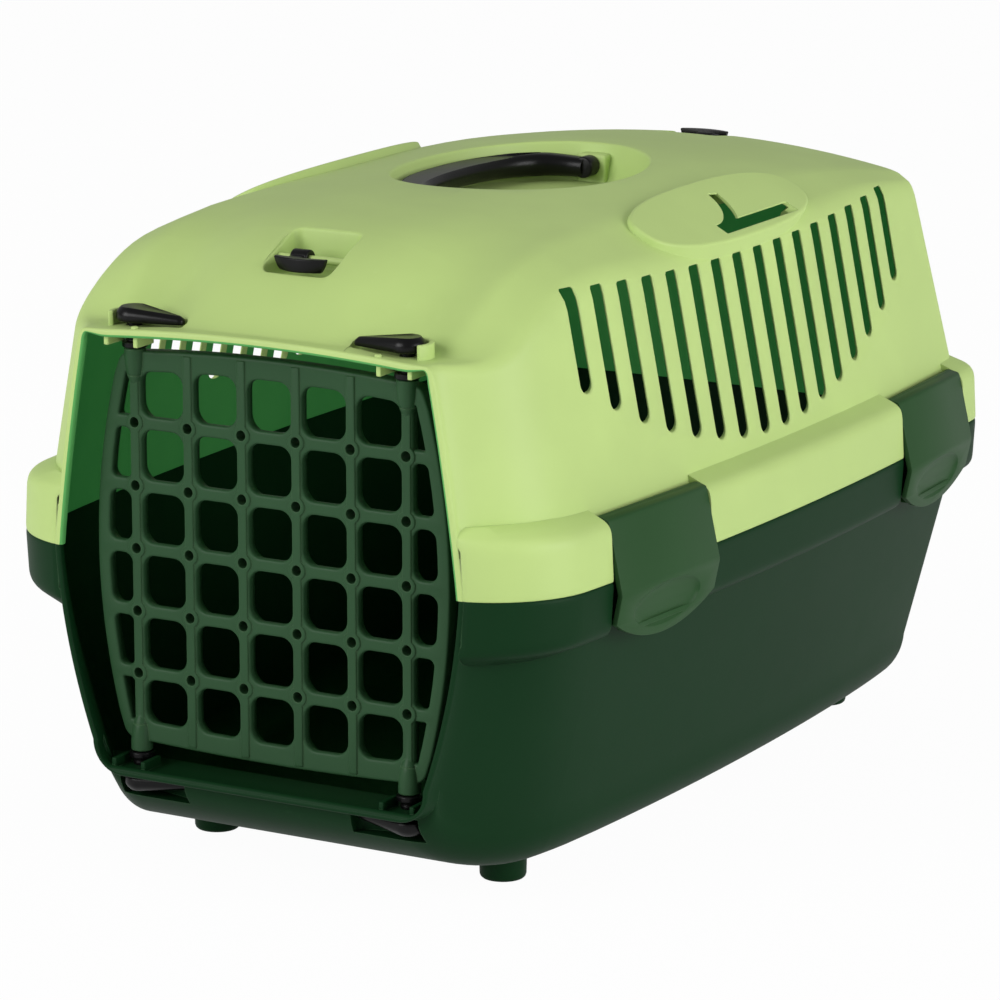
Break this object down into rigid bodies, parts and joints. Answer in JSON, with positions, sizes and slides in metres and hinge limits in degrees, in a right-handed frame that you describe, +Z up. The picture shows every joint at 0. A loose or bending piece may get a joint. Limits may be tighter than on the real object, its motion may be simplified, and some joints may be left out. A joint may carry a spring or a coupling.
{
  "type": "pet transport carrier",
  "caption": "Two-part plastic pet carrier: vented upper shell on a deep tub, grille door on turn latches, side clips, folding handle and strap eyes.",
  "frame": {"origin": "on the floor plane, midway along the overall length and width", "axes": "+Z up, -Y towards the grille door, +X to the right as seen from behind the door grille looking along +Y"},
  "size_m": [0.3254, 0.48, 0.3082],
  "materials": {
    "tub_green": "injection-moulded, satin, dark green",
    "upper_green": "injection-moulded, fine matt grain, light green",
    "door_green": "injection-moulded, satin, grey green",
    "latch_black": "black acetal, satin",
    "clip_green": "injection-moulded, satin, dark green",
    "handle_black": "black, fine matt grain",
    "eye_black": "black, satin"
  },
  "bodies": {
    "tub": {"lower_shell": "tub_green"},
    "lid": {"upper_shell": "upper_green"},
    "door": {"door_grille": "door_green"},
    "latch_top_left": {"latch_lever_top_left": "latch_black", "latch_pin_top_left": "latch_black"},
    "latch_top_right": {"latch_lever_top_right": "latch_black", "latch_pin_top_right": "latch_black"},
    "latch_bottom_left": {"latch_lever_bottom_left": "latch_black", "latch_pin_bottom_left": "latch_black"},
    "latch_bottom_right": {"latch_lever_bottom_right": "latch_black", "latch_pin_bottom_right": "latch_black"},
    "clip_front_right": {"clip_front_right": "clip_green"},
    "clip_front_left": {"clip_front_left": "clip_green"},
    "clip_rear_right": {"clip_rear_right": "clip_green"},
    "clip_rear_left": {"clip_rear_left": "clip_green"},
    "handle": {"carry_handle": "handle_black"},
    "strap_eye_front": {"strap_eye_front": "eye_black"},
    "strap_eye_rear": {"strap_eye_rear": "eye_black"}
  },
  "joints": [
    {"name": "lid_lift", "type": "slide", "parent": "tub", "child": "lid", "axis": [0, 0, 1], "range_m": [0, 0.15]},
    {"name": "door_swing", "type": "hinge", "parent": "tub", "child": "door", "pos_m": [-0.07225, -0.225, 0.1556], "axis": [0, 0, -1], "range_deg": [0, 110]},
    {"name": "latch_top_left_turn", "type": "hinge", "parent": "lid", "child": "latch_top_left", "pos_m": [-0.07225, -0.225, 0.262], "axis": [0, 0, -1], "range_deg": [0, 90]},
    {"name": "latch_top_right_turn", "type": "hinge", "parent": "lid", "child": "latch_top_right", "pos_m": [0.07225, -0.225, 0.262], "axis": [0, 0, 1], "range_deg": [0, 90]},
    {"name": "latch_bottom_left_turn", "type": "hinge", "parent": "tub", "child": "latch_bottom_left", "pos_m": [-0.07225, -0.225, 0.048], "axis": [0, 0, -1], "range_deg": [0, 90]},
    {"name": "latch_bottom_right_turn", "type": "hinge", "parent": "tub", "child": "latch_bottom_right", "pos_m": [0.07225, -0.225, 0.048], "axis": [0, 0, 1], "range_deg": [0, 90]},
    {"name": "clip_front_right_open", "type": "hinge", "parent": "lid", "child": "clip_front_right", "pos_m": [0.14434, -0.13328, 0.1824], "axis": [-0.0745, -0.9972, 0], "range_deg": [0, 80]},
    {"name": "clip_front_left_open", "type": "hinge", "parent": "lid", "child": "clip_front_left", "pos_m": [-0.14434, -0.13328, 0.1824], "axis": [-0.0745, 0.9972, 0], "range_deg": [0, 80]},
    {"name": "clip_rear_right_open", "type": "hinge", "parent": "lid", "child": "clip_rear_right", "pos_m": [0.1466, 0.15743, 0.1824], "axis": [0.059, -0.9983, 0], "range_deg": [0, 80]},
    {"name": "clip_rear_left_open", "type": "hinge", "parent": "lid", "child": "clip_rear_left", "pos_m": [-0.1466, 0.15743, 0.1824], "axis": [0.059, 0.9983, 0], "range_deg": [0, 80]},
    {"name": "handle_fold", "type": "hinge", "parent": "lid", "child": "handle", "pos_m": [0, 0.007, 0.2965], "axis": [0, 1, 0], "range_deg": [0, 180]},
    {"name": "strap_eye_front_fold", "type": "hinge", "parent": "lid", "child": "strap_eye_front", "pos_m": [0, -0.187, 0.29096], "axis": [-1, 0, 0], "range_deg": [0, 100]},
    {"name": "strap_eye_rear_fold", "type": "hinge", "parent": "lid", "child": "strap_eye_rear", "pos_m": [0, 0.194, 0.29375], "axis": [1, 0, 0], "range_deg": [0, 100]}
  ]
}
